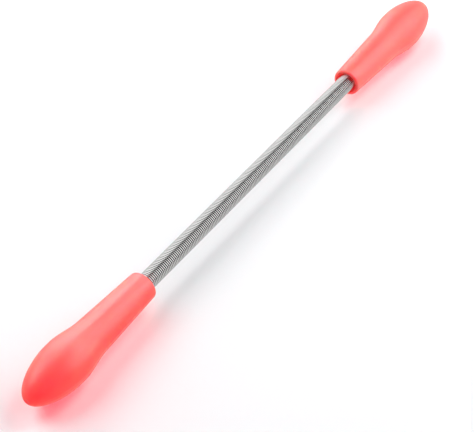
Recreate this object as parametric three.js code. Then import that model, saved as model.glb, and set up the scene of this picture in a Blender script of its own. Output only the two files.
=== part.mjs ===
// Spring facial-hair remover: two club-shaped moulded handles joined by one
// long close-wound extension spring. Millimetres, +Z up, the long axis along X.
// The bulbs rest on z = 0 and x = 0 is the middle of the spring.
import * as THREE from 'three';

// Spring, one wire wound tight from end to end
const COIL_OD = 5.0;
const WIRE_DIAMETER = 0.59;
const COIL_PITCH = 0.6;
const STRETCHES = 15;
const TURNS_PER_STRETCH = 11;
const TURNS_HIDDEN = 12;
const SEGMENTS_PER_TURN = 10;
const WIRE_SIDES = 4;

// Handle, as stations measured from its round tip
const HANDLE_LENGTH = 46.2;
const BULB_RADIUS = 6.45;
const NOSE_LENGTH = 13.6;
const NOSE_POWER = 1.7;
const BAND_LENGTH = 1.6;
const NECK_START = 25.6;
const NECK_RADIUS = 5.1;
const MOUTH_RADIUS = 4.15;
const RIM_RADIUS = 0.6;
const HANDLE_FACETS = 24;

// Stepped blind bore of the handle, depths measured from the mouth
const RECESS_RADIUS = 3.15;
const RECESS_DEPTH = 4.0;
const BORE_RADIUS = 2.8;
const BORE_DEPTH = 12.0;
const BORE_LIP = 0.25;

// Plug whose stud fills the hidden coils
const STUD_RADIUS = 1.7;
const STUD_LENGTH = 6.6;
const STUD_CHAMFER = 0.4;
const HEAD_RADIUS = 2.45;
const HEAD_LENGTH = 2.6;
const HEAD_CHAMFER = 0.3;
const HEAD_GAP = 0.3;

const STRETCH_LENGTH = TURNS_PER_STRETCH * COIL_PITCH;
const SPRING_LENGTH = STRETCHES * STRETCH_LENGTH;
const MOUTH_X = SPRING_LENGTH / 2;
const HIDDEN_LENGTH = TURNS_HIDDEN * COIL_PITCH;
const HALF_FACET = Math.PI / HANDLE_FACETS;
const AXIS_HEIGHT = BULB_RADIUS * Math.cos(HALF_FACET);

const group = new THREE.Group();
group.name = 'spring_hair_remover';

function add(name, geometry, look) {
  const mesh = new THREE.Mesh(geometry, new THREE.MeshStandardMaterial(look));
  mesh.name = name;
  mesh.position.z = AXIS_HEIGHT;
  group.add(mesh);
}

const CORAL_PLASTIC = { color: 0xf9605f, roughness: 0.32, metalness: 0.0 };
const SPRING_STEEL = { color: 0xb9b8b6, roughness: 0.28, metalness: 1.0 };
const PLUG_NYLON = { color: 0xe9e4da, roughness: 0.55, metalness: 0.0 };

// Solid of revolution about the X axis. Each station is [along X, radius]; the
// two ends of the list lie on the axis. A flat facet faces straight down.
function turned(stations) {
  const profile = stations.map(([along, radius]) => new THREE.Vector2(radius, along));
  const geometry = new THREE.LatheGeometry(profile, HANDLE_FACETS);
  geometry.rotateZ(-Math.PI / 2);
  geometry.rotateX(HALF_FACET);
  return geometry;
}

// The same solid seen from the other end of the spring
function turnedRound(geometry) {
  return geometry.clone().rotateZ(Math.PI);
}

// Outer skin of the handle from its tip to the rounded rim of its mouth
function handleSkin() {
  const stations = [[0, 0]];
  for (const part of [0.012, 0.04, 0.085, 0.15, 0.24, 0.35, 0.48, 0.62, 0.8, 1.0]) {
    const rise = Math.sqrt(1 - Math.pow(1 - part, NOSE_POWER));
    stations.push([part * NOSE_LENGTH, BULB_RADIUS * rise]);
  }
  const shoulderStart = NOSE_LENGTH + BAND_LENGTH;
  const shoulderSteps = 8;
  for (let i = 0; i <= shoulderSteps; i += 1) {
    const t = i / shoulderSteps;
    const ease = 0.5 + 0.5 * Math.cos(Math.PI * t);
    const along = shoulderStart + t * (NECK_START - shoulderStart);
    stations.push([along, NECK_RADIUS + (BULB_RADIUS - NECK_RADIUS) * ease]);
  }
  const rimSteps = 3;
  for (let i = 0; i <= rimSteps; i += 1) {
    const turn = (Math.PI / 2) * (i / rimSteps);
    const along = HANDLE_LENGTH - RIM_RADIUS * (1 - Math.sin(turn));
    stations.push([along, MOUTH_RADIUS - RIM_RADIUS * (1 - Math.cos(turn))]);
  }
  return stations;
}

// Stepped bore from the mouth down to its floor on the axis
function handleBore() {
  return [
    [HANDLE_LENGTH, RECESS_RADIUS + BORE_LIP],
    [HANDLE_LENGTH - BORE_LIP, RECESS_RADIUS],
    [HANDLE_LENGTH - RECESS_DEPTH, RECESS_RADIUS],
    [HANDLE_LENGTH - RECESS_DEPTH, BORE_RADIUS + BORE_LIP],
    [HANDLE_LENGTH - RECESS_DEPTH - BORE_LIP, BORE_RADIUS],
    [HANDLE_LENGTH - BORE_DEPTH, BORE_RADIUS],
    [HANDLE_LENGTH - BORE_DEPTH - BORE_LIP, BORE_RADIUS - BORE_LIP],
    [HANDLE_LENGTH - BORE_DEPTH - BORE_LIP, 0],
  ];
}

// Plug: chamfered head at the blind end of the bore, stud reaching to the mouth
function plugProfile() {
  const headEnd = -MOUTH_X - HIDDEN_LENGTH - HEAD_GAP;
  const headStart = headEnd - HEAD_LENGTH;
  const studEnd = headEnd + HEAD_GAP + STUD_LENGTH;
  return [
    [headStart, 0],
    [headStart, HEAD_RADIUS - HEAD_CHAMFER],
    [headStart + HEAD_CHAMFER, HEAD_RADIUS],
    [headEnd - HEAD_CHAMFER, HEAD_RADIUS],
    [headEnd, HEAD_RADIUS - HEAD_CHAMFER],
    [headEnd, STUD_RADIUS],
    [studEnd - STUD_CHAMFER, STUD_RADIUS],
    [studEnd, STUD_RADIUS - STUD_CHAMFER],
    [studEnd, 0],
  ];
}

// Closed length of round wire wound about the X axis. It starts on the -Y side,
// the side that opens when the spring bends, and ends there after whole turns.
function coil(startX, turns) {
  const wireRadius = WIRE_DIAMETER / 2;
  const windRadius = COIL_OD / 2 - wireRadius;
  const rings = turns * SEGMENTS_PER_TURN;
  const points = [];
  for (let i = 0; i <= rings; i += 1) {
    const wind = (2 * Math.PI * i) / SEGMENTS_PER_TURN;
    const centreX = startX + (i * COIL_PITCH) / SEGMENTS_PER_TURN;
    for (let j = 0; j < WIRE_SIDES; j += 1) {
      const around = (2 * Math.PI * j) / WIRE_SIDES;
      const radius = windRadius + wireRadius * Math.cos(around);
      const x = centreX + wireRadius * Math.sin(around);
      points.push(x, -radius * Math.cos(wind), -radius * Math.sin(wind));
    }
  }
  const faces = [];
  for (let j = 1; j < WIRE_SIDES - 1; j += 1) {
    const last = rings * WIRE_SIDES;
    faces.push(0, j, j + 1);
    faces.push(last, last + j + 1, last + j);
  }
  for (let i = 0; i < rings; i += 1) {
    for (let j = 0; j < WIRE_SIDES; j += 1) {
      const here = i * WIRE_SIDES + j;
      const beside = i * WIRE_SIDES + ((j + 1) % WIRE_SIDES);
      faces.push(here, here + WIRE_SIDES, beside);
      faces.push(beside, here + WIRE_SIDES, beside + WIRE_SIDES);
    }
  }
  const geometry = new THREE.BufferGeometry();
  geometry.setAttribute('position', new THREE.Float32BufferAttribute(points, 3));
  geometry.setIndex(faces);
  geometry.computeVertexNormals();
  return geometry;
}

// Handles, tips outward
const handle = turned([...handleSkin(), ...handleBore()]);
handle.translate(-MOUTH_X - HANDLE_LENGTH, 0, 0);
add('near_handle', handle, CORAL_PLASTIC);
add('far_handle', turnedRound(handle), CORAL_PLASTIC);

// Plugs inside the handles
const plug = turned(plugProfile());
add('near_spring_plug', plug, PLUG_NYLON);
add('far_spring_plug', turnedRound(plug), PLUG_NYLON);

// Spring: the coils hidden in each handle and the visible stretches between
add('spring_end_near', coil(-MOUTH_X - HIDDEN_LENGTH, TURNS_HIDDEN), SPRING_STEEL);
add('spring_end_far', coil(MOUTH_X, TURNS_HIDDEN), SPRING_STEEL);
for (let i = 0; i < STRETCHES; i += 1) {
  const number = String(i + 1).padStart(2, '0');
  add(`coil_${number}`, coil(-MOUTH_X + i * STRETCH_LENGTH, TURNS_PER_STRETCH), SPRING_STEEL);
}

export default group;
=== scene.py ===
# Spring facial-hair remover, drawn around its CAD frame: two smooth coral handles joined by a
# close-wound steel spring, lying on a white floor.
import math

import bpy
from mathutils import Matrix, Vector


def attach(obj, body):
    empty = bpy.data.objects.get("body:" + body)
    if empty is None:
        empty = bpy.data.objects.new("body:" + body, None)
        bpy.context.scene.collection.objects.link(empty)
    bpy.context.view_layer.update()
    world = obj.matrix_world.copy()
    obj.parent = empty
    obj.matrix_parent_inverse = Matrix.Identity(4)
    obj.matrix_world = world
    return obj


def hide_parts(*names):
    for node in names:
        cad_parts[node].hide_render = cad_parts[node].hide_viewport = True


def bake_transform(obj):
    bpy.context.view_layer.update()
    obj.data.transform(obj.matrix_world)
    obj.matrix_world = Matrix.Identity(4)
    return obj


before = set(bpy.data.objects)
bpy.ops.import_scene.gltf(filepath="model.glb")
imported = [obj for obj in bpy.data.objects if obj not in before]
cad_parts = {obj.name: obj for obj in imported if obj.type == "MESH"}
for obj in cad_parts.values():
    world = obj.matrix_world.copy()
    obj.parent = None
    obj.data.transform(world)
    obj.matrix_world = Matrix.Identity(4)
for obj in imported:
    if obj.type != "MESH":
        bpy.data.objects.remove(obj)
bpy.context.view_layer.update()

MM = 0.001

# Sizes, in millimetres, as in the CAD
COIL_OD = 5.0
WIRE_DIAMETER = 0.59
COIL_PITCH = 0.6
STRETCHES = 15
TURNS_PER_STRETCH = 11
TURNS_HIDDEN = 12
HANDLE_LENGTH = 46.2
BULB_RADIUS = 6.45
NOSE_LENGTH = 13.6
NOSE_POWER = 1.7
BAND_LENGTH = 1.6
NECK_START = 25.6
NECK_RADIUS = 5.1
MOUTH_RADIUS = 4.15
RIM_RADIUS = 0.6
RECESS_RADIUS = 3.15
RECESS_DEPTH = 4.0
BORE_RADIUS = 2.8
BORE_DEPTH = 12.0
BORE_LIP = 0.25
HANDLE_FACETS = 24

TOTAL_TURNS = STRETCHES * TURNS_PER_STRETCH
STRETCH_LENGTH = TURNS_PER_STRETCH * COIL_PITCH
MOUTH_X = STRETCHES * STRETCH_LENGTH / 2
AXIS_HEIGHT = BULB_RADIUS * math.cos(math.pi / HANDLE_FACETS)
RIM_START = HANDLE_LENGTH - RIM_RADIUS

# Gate mark: a shallow dimple in each tip. GATE_SIDE holds shares of its depth and of its radius. Its
# edge is rounded between two shares of its radius, and drops by GATE_EDGE_DROP.
GATE_RADIUS = 0.8
GATE_DEPTH = 0.3
GATE_SIDE = ((1.0, 0.6), (0.8, 0.75))
GATE_EDGE_INNER = 0.8
GATE_EDGE_OUTER = 0.9
GATE_EDGE_DROP = 0.03

# Moulding line: a fine ridge along each side of a handle, from LINE_START to the rim
LINE_HEIGHT = 0.05
LINE_TURN = math.radians(0.9)
LINE_START = NOSE_LENGTH / 8

# Rounding of the step in the bore
STEP_CHAMFER = 0.1

# How finely the pieces are drawn. The nose begins at the gate mark, so it leaves out its first steps.
HANDLE_SIDES = 96
NOSE_STEPS = 40
FIRST_NOSE_STEP = 4
SHOULDER_STEPS = 24
TAPER_STEPS = 12
RIM_STEPS = 8
LIP_STEPS = 4
COIL_STEPS = 36
WIRE_SIDES = 10

# The wire that bends reaches this many turns into each mouth
TURNS_IN_MOUTH = 1

# Floor, just below the smooth bulbs. Its size and the distances of its glow are in metres.
FLOOR_GAP = 0.01
FLOOR_HEIGHT = AXIS_HEIGHT - BULB_RADIUS - FLOOR_GAP
FLOOR_SIZE = 6
FLOOR_GLOW_START = 0.15
FLOOR_GLOW_FULL = 0.5

# Camera: its place, the way it looks in degrees, its sensor and lens, and in metres what it clips
CAMERA_X = -246.9
CAMERA_Y = -164.7
CAMERA_ABOVE_AXIS = 274.0
CAMERA_HEADING = 34.51
CAMERA_DIP = -44.26
CAMERA_SENSOR = 36
CAMERA_LENS = 111.1
CAMERA_CLIP_START = 0.01
CAMERA_CLIP_END = 20

scene = bpy.context.scene


# Materials


def material(name, colour, roughness, **values):
    """A node material with a Principled shader, its plain sockets set, and its tree ready for detail."""
    made = bpy.data.materials.new(name)
    made.use_nodes = True
    shader = made.node_tree.nodes["Principled BSDF"]
    shader.inputs["Base Color"].default_value = (*colour, 1)
    shader.inputs["Roughness"].default_value = roughness
    for socket, value in values.items():
        shader.inputs[socket.replace("_", " ")].default_value = value
    return made, made.node_tree.nodes, made.node_tree.links, shader


def noise(nodes, links, place, scale, detail):
    """Noise from 0 to 1, finer with a larger scale."""
    made = nodes.new("ShaderNodeTexNoise")
    made.inputs["Scale"].default_value = scale
    made.inputs["Detail"].default_value = detail
    links.new(place, made.inputs["Vector"])
    return made.outputs["Fac"]


def spread(nodes, links, value, low, high):
    """value, from 0 to 1, spread from low to high."""
    made = nodes.new("ShaderNodeMapRange")
    made.inputs["To Min"].default_value = low
    made.inputs["To Max"].default_value = high
    links.new(value, made.inputs["Value"])
    return made.outputs["Result"]


def ramp(nodes, links, value, stops):
    """A colour for value, blended between two stops, each a value and its colour."""
    made = nodes.new("ShaderNodeValToRGB")
    for element, (position, colour) in zip(made.color_ramp.elements, stops):
        element.position = position
        element.color = (*colour, 1)
    links.new(value, made.inputs["Fac"])
    return made.outputs["Color"]


def bump(nodes, links, height, distance, strength, below=None):
    """The normal of a relief that is distance metres high, on top of the relief below."""
    made = nodes.new("ShaderNodeBump")
    made.inputs["Distance"].default_value = distance
    made.inputs["Strength"].default_value = strength
    links.new(height, made.inputs["Height"])
    if below is not None:
        links.new(below, made.inputs["Normal"])
    return made.outputs["Normal"]


def coral_plastic():
    """Slightly translucent plastic with a soft gloss, faint clouds in its colour and a fine grain."""
    made, nodes, links, shader = material(
        "coral_plastic", (0.99, 0.129, 0.092), 0.45,
        Specular_IOR_Level=0.33, Coat_Weight=0.1, Coat_Roughness=0.12,
        Subsurface_Weight=0.9, Subsurface_Scale=0.008, Subsurface_Anisotropy=0.2,
    )
    shader.inputs["Subsurface Radius"].default_value = (1.0, 0.12, 0.30)
    place = nodes.new("ShaderNodeTexCoord").outputs["Object"]
    cloud = noise(nodes, links, place, scale=90, detail=3)
    stops = ((0.3, (0.985, 0.122, 0.087)), (0.7, (0.995, 0.136, 0.097)))
    links.new(ramp(nodes, links, cloud, stops), shader.inputs["Base Color"])
    fine = noise(nodes, links, place, scale=1500, detail=4)
    links.new(spread(nodes, links, fine, low=0.42, high=0.56), shader.inputs["Roughness"])
    skin = bump(nodes, links, cloud, distance=0.0002, strength=0.25)
    grain = bump(nodes, links, fine, distance=0.00003, strength=0.25, below=skin)
    links.new(grain, shader.inputs["Normal"])
    return made


def spring_steel():
    """Bright drawn wire with painted shade between its turns, where the crest attribute is low."""
    made, nodes, links, shader = material("spring_steel", (0.60, 0.60, 0.595), 0.12, Metallic=1.0)
    place = nodes.new("ShaderNodeTexCoord").outputs["Object"]
    cloud = noise(nodes, links, place, scale=220, detail=2)
    fine = noise(nodes, links, place, scale=4000, detail=3)
    crest = nodes.new("ShaderNodeAttribute")
    crest.attribute_name = "crest"
    wear = spread(nodes, links, cloud, low=-0.12, high=0.12)
    height = nodes.new("ShaderNodeMath")
    height.operation = "ADD"
    links.new(crest.outputs["Fac"], height.inputs[0])
    links.new(wear, height.inputs[1])
    # Painted shade: the crest, shifted a little by random wear, makes the wire dark in the valleys
    # between turns and bright on the crests.
    stops = ((0.35, (0.20, 0.20, 0.20)), (0.85, (0.60, 0.60, 0.595)))
    links.new(ramp(nodes, links, height.outputs["Value"], stops), shader.inputs["Base Color"])
    links.new(spread(nodes, links, fine, low=0.08, high=0.16), shader.inputs["Roughness"])
    return made


def plug_nylon():
    """Plain nylon with a fine grain."""
    made, nodes, links, shader = material("plug_nylon", (0.80, 0.76, 0.68), 0.5)
    place = nodes.new("ShaderNodeTexCoord").outputs["Object"]
    fine = noise(nodes, links, place, scale=1200, detail=3)
    links.new(spread(nodes, links, fine, low=0.42, high=0.6), shader.inputs["Roughness"])
    links.new(bump(nodes, links, fine, distance=0.00004, strength=0.3), shader.inputs["Normal"])
    return made


def white_table():
    """White that is lit near the object, and glows by itself far out, where the lamps don't reach."""
    made, nodes, links, shader = material("white_table", (0.95, 0.95, 0.95), 0.6)
    place = nodes.new("ShaderNodeTexCoord").outputs["Object"]
    distance = nodes.new("ShaderNodeVectorMath")
    distance.operation = "LENGTH"
    links.new(place, distance.inputs[0])
    fade = nodes.new("ShaderNodeMapRange")
    fade.interpolation_type = "SMOOTHSTEP"
    fade.inputs["From Min"].default_value = FLOOR_GLOW_START
    fade.inputs["From Max"].default_value = FLOOR_GLOW_FULL
    links.new(distance.outputs["Value"], fade.inputs["Value"])
    shader.inputs["Emission Color"].default_value = (1, 1, 1, 1)
    links.new(fade.outputs["Result"], shader.inputs["Emission Strength"])
    return made


CORAL = coral_plastic()
STEEL = spring_steel()
NYLON = plug_nylon()


def mesh_piece(name, points, faces, look):
    """A smooth piece from points in millimetres, in the frame of the CAD, and its faces."""
    mesh = bpy.data.meshes.new(name)
    mesh.from_pydata([[value * MM for value in point] for point in points], [], faces)
    mesh.polygons.foreach_set("use_smooth", [True] * len(mesh.polygons))
    mesh.materials.append(look)
    mesh.update()
    piece = bpy.data.objects.new(name, mesh)
    scene.collection.objects.link(piece)
    return piece


# Handles. An outline is a list of [distance from the tip, radius].


def between(low, high, t):
    return low + t * (high - low)


def gate_mark(lip):
    """Up the side of the gate mark and over its edge, to the skin round it at the distance lip."""
    outline = [(depth * GATE_DEPTH, share * GATE_RADIUS) for depth, share in GATE_SIDE]
    outline.append((lip + GATE_EDGE_DROP, GATE_EDGE_INNER * GATE_RADIUS))
    outline.append((lip, GATE_EDGE_OUTER * GATE_RADIUS))
    return outline


def handle_skin():
    """The outside, from the gate mark in the tip to the rounded rim of the mouth."""
    nose = [(step / NOSE_STEPS) ** 2 for step in range(FIRST_NOSE_STEP, NOSE_STEPS + 1)]
    outline = gate_mark(NOSE_LENGTH * nose[0])
    for part in nose:
        rise = math.sqrt(1 - (1 - part) ** NOSE_POWER)
        outline.append((part * NOSE_LENGTH, BULB_RADIUS * rise))
    shoulder_start = NOSE_LENGTH + BAND_LENGTH
    for step in range(SHOULDER_STEPS + 1):
        t = step / SHOULDER_STEPS
        ease = 0.5 + 0.5 * math.cos(math.pi * t)
        along = between(shoulder_start, NECK_START, t)
        outline.append((along, between(NECK_RADIUS, BULB_RADIUS, ease)))
    for step in range(1, TAPER_STEPS):
        t = step / TAPER_STEPS
        along = between(NECK_START, RIM_START, t)
        outline.append((along, between(NECK_RADIUS, MOUTH_RADIUS, t)))
    for step in range(RIM_STEPS + 1):
        turn = math.pi / 2 * step / RIM_STEPS
        along = HANDLE_LENGTH - RIM_RADIUS * (1 - math.sin(turn))
        outline.append((along, MOUTH_RADIUS - RIM_RADIUS * (1 - math.cos(turn))))
    return outline


def handle_bore():
    """The inside, from the inner edge of the rim down the stepped bore to its floor."""
    outline = []
    for step in range(LIP_STEPS + 1):
        turn = math.pi / 2 * step / LIP_STEPS
        along = HANDLE_LENGTH - BORE_LIP * (1 - math.cos(turn))
        outline.append((along, RECESS_RADIUS + BORE_LIP * (1 - math.sin(turn))))
    recess_end = HANDLE_LENGTH - RECESS_DEPTH
    outline.append((recess_end + STEP_CHAMFER, RECESS_RADIUS))
    outline.append((recess_end, RECESS_RADIUS - STEP_CHAMFER))
    outline.append((recess_end, BORE_RADIUS + STEP_CHAMFER))
    outline.append((recess_end - STEP_CHAMFER, BORE_RADIUS))
    bore_end = HANDLE_LENGTH - BORE_DEPTH
    outline.append((bore_end, BORE_RADIUS))
    outline.append((bore_end - BORE_LIP, BORE_RADIUS - BORE_LIP))
    return outline


def handle_turns():
    """[turn round the axis, how far the skin stands out there], closer together at the moulding lines."""
    turns = []
    for side in range(HANDLE_SIDES):
        turn = 2 * math.pi * side / HANDLE_SIDES
        if side % (HANDLE_SIDES // 2):
            turns.append((turn, 0))
        else:
            turns += [(turn - LINE_TURN, 0), (turn, LINE_HEIGHT), (turn + LINE_TURN, 0)]
    return turns


def handle(name, body, facing):
    """A handle with its tip away from the middle; facing is -1 for the near one and 1 for the far one."""
    skin = handle_skin()
    outline = skin + handle_bore()
    turns = handle_turns()
    sides = len(turns)
    tip_x = facing * (MOUTH_X + HANDLE_LENGTH)
    points = [(tip_x - facing * GATE_DEPTH, 0, AXIS_HEIGHT)]
    for i, (along, radius) in enumerate(outline):
        lined = i < len(skin) and LINE_START < along < RIM_START
        x = tip_x - facing * along
        for turn, line in turns:
            out = radius + (line if lined else 0)
            points.append((x, out * math.cos(turn), AXIS_HEIGHT + out * math.sin(turn)))
    points.append((tip_x - facing * outline[-1][0], 0, AXIS_HEIGHT))
    last_point = len(points) - 1
    last_ring = 1 + (len(outline) - 1) * sides
    faces = []
    for j in range(sides):
        beside = (j + 1) % sides
        faces.append((0, 1 + j, 1 + beside))
        faces.append((last_point, last_ring + beside, last_ring + j))
        for i in range(len(outline) - 1):
            here = 1 + i * sides
            there = here + sides
            faces.append((here + j, there + j, there + beside, here + beside))
    if facing > 0:
        faces = [face[::-1] for face in faces]
    piece = mesh_piece(name, points, faces, CORAL)
    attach(piece, body)
    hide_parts(body)
    return piece


near_skin = handle("near_handle_skin", "near_handle", -1)
far_skin = handle("far_handle_skin", "far_handle", 1)


# Spring: one wire. Its turns are counted from the near mouth, on the side that opens in a bend.


def on_axis(turns):
    """The point on the spring's axis that many turns from the near mouth."""
    return Vector((-MOUTH_X + turns * COIL_PITCH, 0, AXIS_HEIGHT))


def coil(name, first_turn, last_turn):
    """A closed length of the wire. Its crest attribute is 1 outermost and -1 innermost."""
    wire_radius = WIRE_DIAMETER / 2
    wind_radius = COIL_OD / 2 - wire_radius
    lean = math.atan2(COIL_PITCH, 2 * math.pi * wind_radius)
    rings = round((last_turn - first_turn) * COIL_STEPS)
    points = []
    crests = []
    for i in range(rings + 1):
        turns = first_turn + i / COIL_STEPS
        wind = 2 * math.pi * turns
        out = Vector((0, -math.cos(wind), -math.sin(wind)))
        ahead = Vector((0, math.sin(wind), -math.cos(wind)))
        across = Vector((math.cos(lean), 0, 0)) - ahead * math.sin(lean)
        centre = on_axis(turns) + out * wind_radius
        for j in range(WIRE_SIDES):
            around = 2 * math.pi * j / WIRE_SIDES
            points.append(centre + (out * math.cos(around) + across * math.sin(around)) * wire_radius)
            crests.append(math.cos(around))
    faces = []
    for i in range(rings):
        for j in range(WIRE_SIDES):
            here = i * WIRE_SIDES + j
            beside = i * WIRE_SIDES + (j + 1) % WIRE_SIDES
            faces.append((here, here + WIRE_SIDES, beside + WIRE_SIDES, beside))
    faces.append(tuple(range(WIRE_SIDES)))
    faces.append(tuple(rings * WIRE_SIDES + j for j in reversed(range(WIRE_SIDES))))
    piece = mesh_piece(name, points, faces, STEEL)
    piece.data.attributes.new("crest", "FLOAT", "POINT").data.foreach_set("value", crests)
    return piece


# The turns held in the handles don't bend
first_bending_turn = -TURNS_IN_MOUTH
last_bending_turn = TOTAL_TURNS + TURNS_IN_MOUTH
start_piece = coil("spring_in_near_handle", -TURNS_HIDDEN, first_bending_turn)
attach(start_piece, "near_spring_end")
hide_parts("spring_end_near")
end_piece = coil("spring_in_far_handle", last_bending_turn, TOTAL_TURNS + TURNS_HIDDEN)
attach(end_piece, "far_spring_end")
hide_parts("spring_end_far")
spring_pieces = [start_piece, end_piece]

# The wire that bends is cut in the middle of each CAD stretch, so each length bends over one hinge
chain = ["near_spring_end"] + [f"coil_{i + 1:02d}" for i in range(STRETCHES)] + ["far_spring_end"]
for i in range(STRETCHES + 1):
    first = max(first_bending_turn, (i - 0.5) * TURNS_PER_STRETCH)
    last = min(last_bending_turn, (i + 0.5) * TURNS_PER_STRETCH)
    piece = coil(f"spring_wire_{i + 1:02d}", first, last)
    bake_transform(piece)
    spring_pieces.append(piece)
    if i < STRETCHES:
        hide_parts(chain[i + 1])

# Plugs: the CAD nodes themselves, in nylon
for node in ("near_spring_plug", "far_spring_plug"):
    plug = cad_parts[node]
    plug.data.materials.clear()
    plug.data.materials.append(NYLON)

# Floor
bpy.ops.mesh.primitive_plane_add(size=FLOOR_SIZE, location=(0, 0, FLOOR_HEIGHT * MM))
floor = bpy.context.object
floor.name = "table"
floor.data.materials.append(white_table())
floor.visible_glossy = False


def aim(azimuth, height):
    """The direction at azimuth degrees round from +X, and height degrees up from level."""
    turn = math.radians(azimuth)
    tilt = math.radians(height)
    return Vector((math.cos(tilt) * math.cos(turn), math.cos(tilt) * math.sin(turn), math.sin(tilt)))


# Camera
camera = bpy.data.objects.new("camera", bpy.data.cameras.new("camera"))
scene.collection.objects.link(camera)
scene.camera = camera
camera.data.sensor_width = CAMERA_SENSOR
camera.data.lens = CAMERA_LENS
camera.data.clip_start = CAMERA_CLIP_START
camera.data.clip_end = CAMERA_CLIP_END
camera.location = Vector((CAMERA_X, CAMERA_Y, CAMERA_ABOVE_AXIS + AXIS_HEIGHT)) * MM
camera.rotation_euler = aim(CAMERA_HEADING, CAMERA_DIP).to_track_quat("-Z", "Y").to_euler()


# Light. Round lamps stand round the middle of the object. Each white one is a red half and a cyan
# half: the handles' translucent plastic lets the red half through, so their shadows are pink. The
# steel is left to the room, so it stays free of colour. The handles have more lamps of their own:
# glow for the light inside the plastic, gloss for highlights alone, and bounce for the light that
# the floor throws back up at the far one.


def light_list(name, pieces, state="INCLUDE"):
    """The pieces that a lamp lights, or that stop its light, or with EXCLUDE those that it leaves out."""
    made = bpy.data.collections.new(name)
    for piece in pieces:
        made.objects.link(piece)
    for entry in made.collection_objects:
        entry.light_linking.link_state = state
    return made


ONLY_SPRING = light_list("only_spring", spring_pieces)
NOT_SPRING = light_list("not_spring", spring_pieces, "EXCLUDE")
ONLY_HANDLES = light_list("only_handles", [near_skin, far_skin])
ONLY_NEAR_HANDLE = light_list("only_near_handle", [near_skin])
ONLY_FAR_HANDLE = light_list("only_far_handle", [far_skin])

# Kinds of lamp. A kind is one or two parts, each with a name, a colour, what it lights and what stops it.
WHITE_LIGHT = (
    ("red", (1, 0, 0.09), NOT_SPRING, ONLY_SPRING),
    ("cyan", (0, 1, 0.93), NOT_SPRING, None),
)
PLASTIC_GLOW = (("glow", (1, 0, 0.2), ONLY_HANDLES, ONLY_SPRING),)
PLASTIC_GLOSS = (("gloss", (1, 1, 1), ONLY_HANDLES, ONLY_SPRING),)
NEAR_GLOSS = (("gloss", (1, 1, 1), ONLY_NEAR_HANDLE, ONLY_SPRING),)
TABLE_BOUNCE = (("bounce", (1, 1, 1), ONLY_FAR_HANDLE, ONLY_SPRING),)


def lamp(name, parts, azimuth, height, width, share, distance=0.8):
    """A round lamp, width degrees across and distance metres away in a direction from the origin.

    It gives a level white surface at the origin its share of the light that would make it full white.
    """
    toward = aim(azimuth, height)
    for part, colour, lit, stops in parts:
        data = bpy.data.lights.new(f"{name}_{part}", "AREA")
        data.shape = "DISK"
        data.size = 2 * distance * math.tan(math.radians(width) / 2)
        data.energy = share * (math.pi * distance) ** 2 / abs(toward.z)
        data.color = colour
        made = bpy.data.objects.new(data.name, data)
        made.location = toward * distance
        made.rotation_euler = toward.to_track_quat("Z", "Y").to_euler()
        made.light_linking.receiver_collection = lit
        made.light_linking.blocker_collection = stops
        made.visible_diffuse = part != "gloss"
        scene.collection.objects.link(made)


lamp("key", WHITE_LIGHT, azimuth=108, height=49, width=40, share=0.42)
lamp("far", WHITE_LIGHT, azimuth=340, height=55, width=28, share=0.34, distance=0.5)
lamp("low_front", WHITE_LIGHT, azimuth=312, height=25, width=46, share=0.27)
lamp("low_back", WHITE_LIGHT, azimuth=60, height=18, width=40, share=0.18)
lamp("inner_front", PLASTIC_GLOW, azimuth=232, height=34, width=60, share=0.55)
lamp("inner_top", PLASTIC_GLOW, azimuth=60, height=80, width=60, share=0.35)
lamp("gloss_front", PLASTIC_GLOSS, azimuth=317, height=39, width=8, share=0.13)
lamp("gloss_back", PLASTIC_GLOSS, azimuth=101, height=33, width=8, share=0.08)
lamp("gloss_side", PLASTIC_GLOSS, azimuth=45, height=38, width=30, share=0.08)
lamp("gloss_neck", NEAR_GLOSS, azimuth=41, height=46, width=32, share=0.62)
lamp("table_front", TABLE_BOUNCE, azimuth=300, height=-30, width=60, share=0.22)
lamp("table_back", TABLE_BOUNCE, azimuth=100, height=-25, width=60, share=0.19)

# The room that gloss reflects: pale, brighter at the back, dark in front but for a bright patch
# toward the far end, and the floor below. It gives no other light.
world = bpy.data.worlds.new("studio")
scene.world = world
world.use_nodes = True
world.cycles_visibility.diffuse = False
room = world.node_tree.nodes
joins = world.node_tree.links
outward = room.new("ShaderNodeTexCoord").outputs["Generated"]


def patch(below, azimuth, height, inner, outer, strength):
    """below, changed to strength within inner degrees of a direction, fading out at outer degrees."""
    dot = room.new("ShaderNodeVectorMath")
    dot.operation = "DOT_PRODUCT"
    dot.inputs[1].default_value = aim(azimuth, height)
    joins.new(outward, dot.inputs[0])
    fade = room.new("ShaderNodeMapRange")
    fade.interpolation_type = "SMOOTHSTEP"
    fade.inputs["From Min"].default_value = math.cos(math.radians(outer))
    fade.inputs["From Max"].default_value = math.cos(math.radians(inner))
    joins.new(dot.outputs["Value"], fade.inputs["Value"])
    mix = room.new("ShaderNodeMix")
    mix.inputs["B"].default_value = strength
    joins.new(fade.outputs["Result"], mix.inputs["Factor"])
    if isinstance(below, float):
        mix.inputs["A"].default_value = below
    else:
        joins.new(below, mix.inputs["A"])
    return mix.outputs["Result"]


glow = patch(1.0, azimuth=95, height=45, inner=20, outer=55, strength=1.5)
glow = patch(glow, azimuth=270, height=18, inner=68, outer=90, strength=0.03)
glow = patch(glow, azimuth=322, height=25, inner=25, outer=43, strength=2.1)
glow = patch(glow, azimuth=0, height=-90, inner=80, outer=92, strength=0.86)
room["Background"].inputs["Color"].default_value = (1, 1, 1, 1)
joins.new(glow, room["Background"].inputs["Strength"])

# Colours are shown as they are, with no film look
scene.view_settings.view_transform = "Standard"
scene.view_settings.look = "None"
